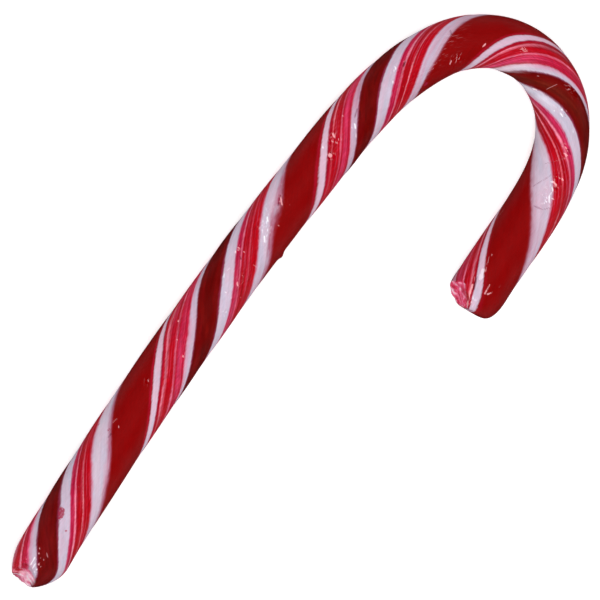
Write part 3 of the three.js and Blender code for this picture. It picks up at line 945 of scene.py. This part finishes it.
@dataclass(frozen=True)
class PulledSugar:
    """Hard boiled sugar, pulled until it is full of fine air, dyed and twisted.

    The air makes it opaque with a soft edge between the dyes, the pull leaves long streaks along the twist,
    and handling has left a worn satin gloss, with bright wrinkles where it is nicked. The glints on its
    nicks are painted highlights, and the wrinkles' pale flecks are partly the white of crazed sugar and
    partly painted highlight. Places across one turn are shares of a turn, and places along the rope are
    millimetres.
    """

    # Each row: where the stripe starts across one turn, its colour and how soft its edge is.
    stripes: tuple[Stripe, ...] = tuple(Stripe(*row) for row in (
        (-0.0185, "#630201", 0.004), (0.1315, "#C3B1C3", 0.004), (0.2055, "#AF133B", 0.005),
        (0.256, "#A40111", 0.005), (0.29, "#AB0113", 0.005), (0.358, "#BE5876", 0.004),
        (0.368, "#C4B1C2", 0.006), (0.463, "#810102", 0.008), (0.736, "#D0AEC0", 0.005),
        (0.779, "#940C2E", 0.004), (0.792, "#AD0216", 0.006), (0.885, "#B41336", 0.008),
        (0.9395, "#C99AB1", 0.006), (0.957, "#C1AEC0", 0.006),
    ))
    # What each band is: red for a veined group, green for the dark band, blue for a white one.
    kinds: tuple[Stripe, ...] = tuple(Stripe(*row) for row in (
        (-0.018, "#00FF00"), (0.131, "#0000FF"), (0.205, "#FF0000"), (0.358, "#0000FF"),
        (0.461, "#000000"), (0.734, "#0000FF"), (0.78, "#FF0000"), (0.94, "#0000FF"),
    ))
    # Each row: the vein's middle and width across one turn, its colour, and its strength at distances from
    # the tail. A later vein lies over an earlier one.
    veins: tuple[Vein, ...] = tuple(Vein(*row) for row in (
        (0.05, 0.09, "#780F13", ((0, 0.6), (12, 0.6), (24, 0.35), (36, 0))),
        (0.06, 0.05, "#450101", ((88, 0), (94, 0.6), (103, 0.6), (109, 0))),
        (0.016, 0.034, "#760105", ((0, 0.2), (60, 0.6), (250, 0.6))),
        (0.104, 0.026, "#730103", ((0, 0.2), (60, 0.6), (250, 0.6))),
        (0.126, 0.011, "#892A48", ((0, 0.9), (250, 0.9))),
        (0.984, 0.01, "#842445", ((0, 0.8), (150, 0.8), (250, 0.6))),
        (0.722, 0.016, "#A70C28", ((30, 0.8), (170, 0.7), (200, 0.3), (250, 0.3))),
        (0.208, 0.007, "#C26791", ((0, 0.6), (20, 0.8), (90, 0.7), (150, 0.8), (250, 0.7))),
        (0.247, 0.01, "#E3859C", (
            (5, 1), (26, 1), (31, 0.7), (42, 0.6), (78, 0.5), (95, 0.55), (100, 0.8), (110, 0.7),
            (136, 0.9), (165, 0.8), (192, 1), (204, 1), (208, 0.7), (215, 0.6), (226, 0.8),
        )),
        (0.247, 0.011, "#EEB3BE", ((0, 0.5), (10, 0.4), (15, 0))),
        (0.247, 0.014, "#E7859C", (
            (146, 0), (150, 0.5), (154, 0.5), (158, 0), (188, 0), (194, 0.7), (203, 0.6), (208, 0.2),
            (216, 0.2), (220, 0),
        )),
        (0.222, 0.018, "#D13667", ((196, 0), (200, 0.6), (215, 0.7), (222, 0))),
        (0.3, 0.013, "#E37C8F", ((188, 0), (194, 0.6), (202, 0.6), (206, 0))),
        (0.296, 0.014, "#BA2E4B", ((76, 0), (88, 0.5), (102, 0.5), (110, 0))),
        (0.3, 0.008, "#E07E8D", (
            (0, 0.9), (10, 0.8), (19, 0.7), (22, 0.9), (31, 0.9), (36, 0.2), (80, 0.15), (108, 0.2),
            (137, 0.6), (146, 0.7), (149, 0.9), (158, 0.8), (163, 0.3), (190, 1), (204, 1), (208, 0.7),
            (213, 0.6), (215, 0.15), (218, 0.2), (220, 0.9), (230, 0.9),
        )),
        (0.811, 0.01, "#E08598", (
            (1, 1), (14, 0.9), (24, 0.4), (44, 0.4), (50, 0.5), (53, 0.95), (66, 0.95), (71, 0.6),
            (78, 0.5), (112, 0.1), (128, 0.15), (131, 0.6), (140, 0.6), (162, 0.9), (178, 1), (184, 0.8),
            (190, 0.6), (200, 0.5), (226, 0.9), (248, 0.9),
        )),
        (0.811, 0.028, "#E08298", ((1, 0.1), (3, 1), (10, 1), (20, 0.3), (28, 0))),
        (0.814, 0.017, "#DE7389", (
            (48, 0), (53, 0.7), (66, 0.7), (71, 0), (155, 0), (162, 0.6), (170, 0.8), (180, 0.8),
            (187, 0.7), (192, 0), (224, 0), (230, 0.5), (240, 0.5), (246, 0.2),
        )),
        (0.8725, 0.013, "#EEA4B3", ((0, 0.8), (14, 0.6), (26, 0))),
        (0.933, 0.011, "#D85882", ((0, 0.8), (14, 0.7), (26, 0))),
        (0.8725, 0.012, "#D86B89", (
            (1, 0.8), (12, 0.8), (46, 0.8), (52, 0.95), (60, 0.9), (63, 0.7), (78, 0.7), (116, 0.55),
            (142, 0.6), (162, 0.9), (190, 0.8), (232, 0.6), (241, 0.65), (243, 0.9), (250, 0.9),
        )),
        (0.905, 0.022, "#D13A62", (
            (0, 0), (15, 0), (45, 0.2), (56, 0.5), (59, 0.9), (66, 0.9), (70, 0.5), (84, 0.3), (116, 0.6),
            (126, 0.9), (142, 0.9), (163, 1), (182, 1), (187, 0.1), (194, 0.1), (234, 0.75), (250, 0.5),
        )),
        (0.915, 0.024, "#A4021C", ((0, 0.5), (15, 0.3), (30, 0), (66, 0), (71, 0.5), (80, 0.3), (90, 0))),
        (0.413, 0.06, "#C296AD", (
            (14, 0.4), (28, 0), (60, 0), (88, 0.6), (100, 0), (112, 0), (138, 1), (168, 1), (190, 0),
            (218, 0), (230, 0.7),
        )),
        (0.457, 0.028, "#A55A73", (
            (0, 1), (56, 1), (125, 0.95), (150, 0.5), (200, 0.5), (208, 0.4), (224, 0.4), (232, 0.7),
            (250, 0.7),
        )),
        (0.165, 0.05, "#DED8E7", ((172, 0), (181, 1), (194, 1), (199, 0), (208, 0))),
        (0.06, 0.06, "#712416", ((174, 0), (182, 0.6), (197, 0.5), (203, 0))),
        (0.965, 0.03, "#AB6B85", (
            (64, 0), (72, 0.2), (84, 0.2), (92, 0), (112, 0), (126, 0.6), (152, 0.8), (160, 0),
        )),
        (0.232, 0.03, "#980324", ((204, 0), (212, 0.4), (220, 0.8), (228, 0.9))),
        (0.232, 0.026, "#C24567", (
            (66, 0), (76, 0.6), (88, 0.5), (94, 0), (178, 0), (182, 1), (194, 0.8), (198, 0),
        )),
        (0.835, 0.024, "#C92E5C", ((66, 0), (76, 0.7), (84, 0.9), (90, 0))),
        (0.842, 0.03, "#C51128", ((0, 0.8), (10, 0.6), (18, 0))),
        (0.905, 0.032, "#E0456F", ((160, 0), (168, 0.9), (180, 0.7), (188, 0))),
        (0.812, 0.04, "#84031A", ((178, 0), (184, 0.75), (198, 0.7), (206, 0))),
        (0.757, 0.03, "#B36785", ((180, 0), (188, 0.4), (196, 0.4), (204, 0))),
        (0.385, 0.034, "#D6C5D2", (
            (26, 0), (32, 0.5), (54, 0.5), (60, 0), (190, 0), (197, 0.7), (207, 0.6), (213, 0),
        )),
        (0.965, 0.034, "#B34160", ((234, 0), (242, 0.8), (250, 1))),
        (0.962, 0.044, "#E9DCE5", ((160, 0), (168, 1), (180, 0.8), (186, 0))),
    ))
    gloss: float = 0.15
    crumb: float = 1.7

    def stripe_stops(self, stripes: tuple[Stripe, ...]) -> Stops:
        """Turns stripes round one turn to the stops of a ramp.

        Args:
            stripes: the stripes, in order.

        Returns:
            Each stop's place, from 0 to 1, and its linear colour.
        """
        stops = []
        for before, stripe in zip((stripes[-1], *stripes), stripes):
            stops.append(((stripe.start - stripe.soft) % 1, linear_colour(before.colour)))
            stops.append(((stripe.start + stripe.soft) % 1, linear_colour(stripe.colour)))
        stops.sort(key=lambda stop: stop[0])
        first = linear_colour(stripes[0].colour)
        return [(0.0, first), *stops, (1.0, first)]

    def make(self) -> bpy.types.Material:
        """Makes the material.

        Returns:
            The finish of the whole cane.
        """
        # Light sinks a little way in, so the whites look milky, and the low gloss gives a worn satin sheen.
        material = bpy.data.materials.new("pulled_boiled_sugar")
        material.use_nodes = True
        material.node_tree.nodes.clear()
        nodes = SugarNodes(material.node_tree)
        across = self.across(nodes)
        colour = nodes.ramp(across, self.stripe_stops(self.stripes))
        colour = self.add_veins(nodes, across, colour)
        kinds = nodes.parts(nodes.ramp(across, self.stripe_stops(self.kinds)))
        colour = self.cloud(nodes, kinds, colour)
        colour = self.break_ends(nodes, colour)
        colour = self.mark(nodes, kinds[2], colour)
        shader = add_node(nodes.tree, "ShaderNodeBsdfPrincipled", {"subsurface_method": "RANDOM_WALK"}, {
            "Base Color": colour,
            "Roughness": self.roughness(nodes),
            "IOR": 1.5,
            "Specular IOR Level": self.gloss,
            "Subsurface Weight": 0.15,
            "Subsurface Radius": (1.0, 0.4, 0.4),
            "Subsurface Scale": 0.6 * MM,
            "Normal": self.bump(nodes),
        })
        add_node(nodes.tree, "ShaderNodeOutputMaterial", {}, {"Surface": shader.outputs["BSDF"]})
        return material

    def across(self, nodes: SugarNodes) -> Socket:
        """Finds the place across one turn, with long waves and a fuzz that feathers the bands' edges."""
        up, aside, _ = nodes.parts(nodes.rope)
        turn = nodes.maths("MULTIPLY", nodes.maths("ARCTAN2", aside, up), 1 / TURN)
        waves = nodes.swing(nodes.grain(nodes.rope, 3.0, 16.0, 11, 1), 0.004)
        fuzz = nodes.swing(nodes.grain(nodes.skin, 0.30, 1.8, 6), 0.0022)
        drawn = nodes.swing(nodes.grain(nodes.rope, 0.8, 2.4, 16), 0.0025)
        for shift in (waves, fuzz, drawn):
            turn = nodes.maths("ADD", turn, shift)
        return nodes.maths("FRACT", turn)

    def add_veins(self, nodes: SugarNodes, across: Socket, colour: Socket) -> Socket:
        """Draws the fine lines inside the bands, each with its fading along the rope.

        Args:
            nodes: the node tree.
            across: the place across one turn.
            colour: the colour so far.

        Returns:
            The colour with its veins.
        """
        along = nodes.maths("DIVIDE", nodes.parts(nodes.rope)[2], ROPE_LENGTH)
        ragged = nodes.span(nodes.grain(nodes.rope, 0.5, 4.0, 5), 0.3, 0.6, 0.55, 1.05)
        for vein in self.veins:
            turned = nodes.maths("FRACT", nodes.maths("ADD", across, 1.5 - vein.middle))
            aside = nodes.maths("ABSOLUTE", nodes.maths("SUBTRACT", turned, 0.5))
            core = nodes.span(aside, 0, vein.width, 1, 0)
            stops = [(place / ROPE_LENGTH, (share, share, share, 1)) for place, share in vein.levels]
            level = nodes.ramp(along, stops)
            share = nodes.maths("MULTIPLY", nodes.maths("MULTIPLY", core, level), ragged)
            colour = nodes.mix(share, colour, vein.colour)
        return colour

    def cloud(self, nodes: SugarNodes, kinds: list[Socket], colour: Socket) -> Socket:
        """Draws the streaks that pulling leaves, and the cloudiness of the bands.

        Args:
            nodes: the node tree.
            kinds: how much the place belongs to a veined group, the dark band and a white band.
            colour: the colour so far.

        Returns:
            The uneven colour.
        """
        veined, dark, white = kinds
        # Patches of a second tint: they keep a band from looking painted on.
        for kind, (across, along, seed), (low, high, most), tint in (
            (dark, (1.4, 4.0, 14), (0.48, 0.68, 0.40), "#780A05"),
            (dark, (0.9, 5.0, 15), (0.50, 0.70, 0.35), "#470301"),
            (white, (1.8, 7.0, 12), (0.45, 0.66, 0.45), "#B6B6C9"),
            (white, (2.6, 9.0, 13), (0.50, 0.70, 0.35), "#CFA4B8"),
            (veined, (0.30, 9.0, 3), (0.54, 0.66, 0.32), "#D15476"),
            (veined, (0.45, 8.0, 17), (0.50, 0.66, 0.45), "#8B0111"),
        ):
            patch = nodes.span(nodes.grain(nodes.rope, across, along, seed), low, high, 0, most)
            colour = nodes.mix(nodes.maths("MULTIPLY", patch, kind), colour, tint)
        # Streaks of lighter and darker tone: they show which way the sugar was drawn.
        for place, (across, along, seed), plain, more, kind in (
            (nodes.rope, (0.40, 12.0, 2), 0.06, 0.16, veined),
            (nodes.rope, (1.60, 4.0, 7), 0.06, 0.06, dark),
            (nodes.skin, (0.30, 1.6, 9), 0.07, 0.13, veined),
        ):
            size = nodes.maths("MULTIPLY_ADD", kind, more, plain)
            swing = nodes.swing(nodes.grain(place, across, along, seed, 3), 1)
            tone = nodes.maths("MULTIPLY_ADD", swing, size, 1)
            inputs = {0: colour, "Scale": tone}
            colour = add_node(nodes.tree, "ShaderNodeVectorMath", {"operation": "SCALE"}, inputs).outputs[0]
        return colour

    def mark(self, nodes: SugarNodes, white: Socket, colour: Socket) -> Socket:
        """Draws the painted glints of nicks, the pale flecks of crinkles, scratches, smears of dye and
        cracks.

        Args:
            nodes: the node tree.
            white: how much the place belongs to a white band.
            colour: the colour so far.

        Returns:
            The colour with its marks.
        """
        pale = nodes.mix(white, "#F2B0B6", "#F4F0FA")
        bright, scuffed = nodes.attribute("bright"), nodes.attribute("scuffed")
        faint, strong = SHARP_MASK[0], sum(SHARP_MASK)
        ragged = nodes.swing(nodes.grain(nodes.skin, 0.4, 0.5, 18), 0.06)
        smeared = nodes.span(nodes.maths("ADD", nodes.attribute("smeared"), ragged), faint, strong, 0, 0.9)
        cracked = nodes.span(nodes.attribute("cracked"), faint, strong, 0, 0.85)
        # Pale flecks in crinkled patches: partly the white of crazed sugar, partly painted highlight for
        # the glints on the wrinkles.
        crazed_flecks_and_glints = nodes.span(nodes.grain(nodes.rope, 0.5, 0.7, 8), 0.56, 0.68, 0, 0.8)
        scratches = nodes.span(nodes.grain(nodes.skin, 0.16, 1.8, 10, 1), 0.62, 0.70, 0, 0.32)
        glint = nodes.span(nodes.attribute("glint"), faint, strong, 0, 0.85)
        colour = nodes.mix(smeared, colour, "#9C183D")
        colour = nodes.mix(cracked, colour, nodes.mix(white, "#4A0408", "#8A5A70"))
        colour = nodes.mix(nodes.maths("MULTIPLY", scratches, scuffed), colour, pale)
        colour = nodes.mix(nodes.maths("MULTIPLY", crazed_flecks_and_glints, bright), colour, pale)
        # Painted highlight: the glint mask mixes in pale pink on red and near white on white, in place of
        # the glint off nicks.
        return nodes.mix(glint, colour, nodes.mix(white, "#FFB8BE", "#FBFAFF"))

    def break_ends(self, nodes: SugarNodes, colour: Socket) -> Socket:
        """Shows the inside of the sugar where the ends are broken: crumbly at the tail, waxy at the tip.

        Args:
            nodes: the node tree.
            colour: the colour so far.

        Returns:
            The colour with its broken ends.
        """
        up, inwards, along = nodes.parts(nodes.skin)
        at_tail = nodes.maths("LESS_THAN", along, ROPE_LENGTH / 2)
        at_tip = nodes.maths("SUBTRACT", 1, at_tail)
        spot = add_node(nodes.tree, "ShaderNodeTexCoord", {}, {}).outputs["Object"]
        crumbs = nodes.grain(spot, self.crumb * MM, self.crumb * MM, 4, 3)
        # The tail's break is paler towards its pole and towards the inside of the crook.
        by_depth = nodes.span(along, -0.5, 3.5, 0.06, -0.16)
        by_side = nodes.span(inwards, -3.0, 1.2, -0.28, 0.02)
        paleness = nodes.maths("ADD", crumbs, nodes.maths("ADD", by_depth, by_side))
        tail = nodes.ramp(paleness, coded_stops(
            (0.28, "#C42850"), (0.38, "#DC6084"), (0.48, "#F0A0BA"), (0.62, "#FBE2EC")
        ))
        tip = nodes.ramp(crumbs, coded_stops(
            (0.30, "#B01438"), (0.44, "#DA2E56"), (0.57, "#E8648C"), (0.70, "#F6C0D0")
        ))
        squares = nodes.maths("ADD", nodes.maths("POWER", inwards, 2), nodes.maths("POWER", up, 2))
        core = nodes.span(nodes.maths("SQRT", squares), 4.0, 5.4, 1, 0)
        rise, fall = nodes.span(inwards, -2.4, -0.2, 0, 0.9), nodes.span(inwards, 1.7, 2.5, 1, 0.2)
        middle = nodes.maths("MULTIPLY", rise, fall)
        face = nodes.maths("MAXIMUM", middle, nodes.span(up, -1.6, 0.4, 0.7, 0))
        tail_part = nodes.maths("MULTIPLY", face, nodes.span(along, 0.8, 2.8, 1, 0))
        tip_part = nodes.maths("MAXIMUM", core, nodes.span(inwards, 1.8, 3.6, 0, 0.9))
        tail_share, tip_share = (
            nodes.maths("MULTIPLY", end, part) for end, part in ((at_tail, tail_part), (at_tip, tip_part))
        )
        part = nodes.maths("ADD", tail_share, tip_share)
        share = nodes.maths("MULTIPLY", nodes.attribute("broken"), part)
        return nodes.mix(share, colour, nodes.mix(at_tail, tip, tail))

    def roughness(self, nodes: SugarNodes) -> Socket:
        """Makes the worn skin satin, and the nicks glossy."""
        worn = nodes.span(nodes.grain(nodes.skin, 2.5, 4.0, 19), 0.35, 0.65, 0.34, 0.48)
        bright = nodes.span(nodes.attribute("bright"), 0.1, 0.6, 0, -0.34)
        glint = nodes.span(nodes.attribute("glint"), 0.40, 0.56, 0, -0.34)
        return nodes.maths("MAXIMUM", nodes.maths("ADD", worn, nodes.maths("ADD", bright, glint)), 0.07)

    def bump(self, nodes: SugarNodes) -> Socket:
        """Gives the skin its fine drawn ridges and pits, which break up the lamp's glint."""
        ridges = nodes.grain(nodes.rope, 0.35, 6.0, 9, 3)
        pits = nodes.grain(nodes.skin, 0.5, 0.7, 20, 2)
        height = nodes.maths("MULTIPLY_ADD", pits, 0.6, ridges)
        inputs = {"Strength": 0.5, "Distance": 0.03 * MM, "Height": height}
        return add_node(nodes.tree, "ShaderNodeBump", {}, inputs).outputs["Normal"]


# ---- The studio --------------------------------------------------------------------------------------


@dataclass
class Studio:
    """A pale floor in a dim room, soft light from above, and a camera that looks straight down.

    The wide soft light and the floor aren't mirrored in the sugar, as in a darkened room. One small lamp
    is, and it makes the nicks glint. The floor gives off a little light of its own, as a board lit from
    beneath does, so that the shadow round the cane stays pale.
    """

    view_width: float = 141.1
    view_centre: tuple[float, float] = (13.16, 92.17)
    view_turn: float = 35.57
    distance: float = 1600.0
    sensor: float = 36.0
    floor_colour: str = "#FAFAFA"
    floor_glow: float = 0.33
    key_place: tuple[float, float, float] = (0.08, 0.0, 0.9)
    key_size: float = 1.0
    key_power: float = 10.5
    lamp_place: tuple[float, float, float] = (0.10, 0.05, 0.9)
    lamp_size: float = 0.02
    lamp_power: float = 0.03
    world_level: float = 0.3

    def add_floor(self) -> None:
        """Adds the pale floor that the cane lies on."""
        deselect_all()
        bpy.ops.mesh.primitive_plane_add(size=4, location=(0, 0, 0))
        floor = bpy.context.object
        floor.name = "floor"
        floor.visible_glossy = False
        # Matt and nearly white, so that the eye sees only the cane and its soft shadow.
        material = bpy.data.materials.new("matt_white_board")
        material.use_nodes = True
        shader = material.node_tree.nodes["Principled BSDF"]
        shader.inputs["Base Color"].default_value = linear_colour(self.floor_colour)
        shader.inputs["Roughness"].default_value = 0.9
        shader.inputs["Emission Color"].default_value = (1, 1, 1, 1)
        shader.inputs["Emission Strength"].default_value = self.floor_glow
        floor.data.materials.append(material)

    def add_light(
        self, name: str, place: tuple[float, float, float], size: float, power: float
    ) -> bpy.types.Object:
        """Adds a square light that shines at the middle of the cane.

        Args:
            name: what the light is.
            place: where it hangs, in metres.
            size: the length of its side, in metres.
            power: its power in watts.

        Returns:
            The light.
        """
        aim = (-Vector(place)).to_track_quat("-Z", "Y").to_euler()
        bpy.ops.object.light_add(type="AREA", location=place, rotation=aim)
        light = bpy.context.object
        light.name = name
        light.data.shape = "SQUARE"
        light.data.size = size
        light.data.energy = power
        return light

    def add_room(self) -> None:
        """Adds the even light of the room."""
        world = bpy.data.worlds.new("room")
        world.use_nodes = True
        world.node_tree.nodes["Background"].inputs["Color"].default_value = (1, 1, 1, 1)
        world.node_tree.nodes["Background"].inputs["Strength"].default_value = self.world_level
        world.cycles_visibility.glossy = False
        bpy.context.scene.world = world

    def add_camera(self, tail: Vector) -> None:
        """Adds the camera over the cane.

        Args:
            tail: where the middle line starts, in metres.
        """
        centre = tail + Vector((*self.view_centre, 0)) * MM
        data = bpy.data.cameras.new("camera")
        data.sensor_width = self.sensor
        data.lens = self.sensor * self.distance / self.view_width
        data.clip_end = 100
        camera = bpy.data.objects.new("camera", data)
        camera.location = centre + Vector((0, 0, self.distance * MM))
        camera.rotation_euler = (0, 0, math.radians(self.view_turn))
        bpy.context.scene.collection.objects.link(camera)
        bpy.context.scene.camera = camera

    def build(self, tail: Vector) -> None:
        """Builds the studio.

        Args:
            tail: where the cane's middle line starts, in metres.
        """
        self.add_floor()
        key = self.add_light("overhead_softbox", self.key_place, self.key_size, self.key_power)
        key.visible_glossy = False
        lamp = self.add_light("small_lamp", self.lamp_place, self.lamp_size, self.lamp_power)
        lamp.visible_diffuse = False
        self.add_room()
        self.add_camera(tail)
        bpy.context.scene.view_settings.view_transform = "Standard"


def main() -> None:
    """Builds the cane and the studio."""
    logging.basicConfig(level=logging.INFO, format="%(message)s")
    cane = CandyCane()
    piece = cane.build()
    piece.data.materials.append(PulledSugar().make())
    LOG.info("%s: %d faces", piece.name, len(piece.data.polygons))
    Studio().build(cane.tail_place)
    LOG.info("studio: floor, light and camera")


if __name__ == "__main__":
    main()
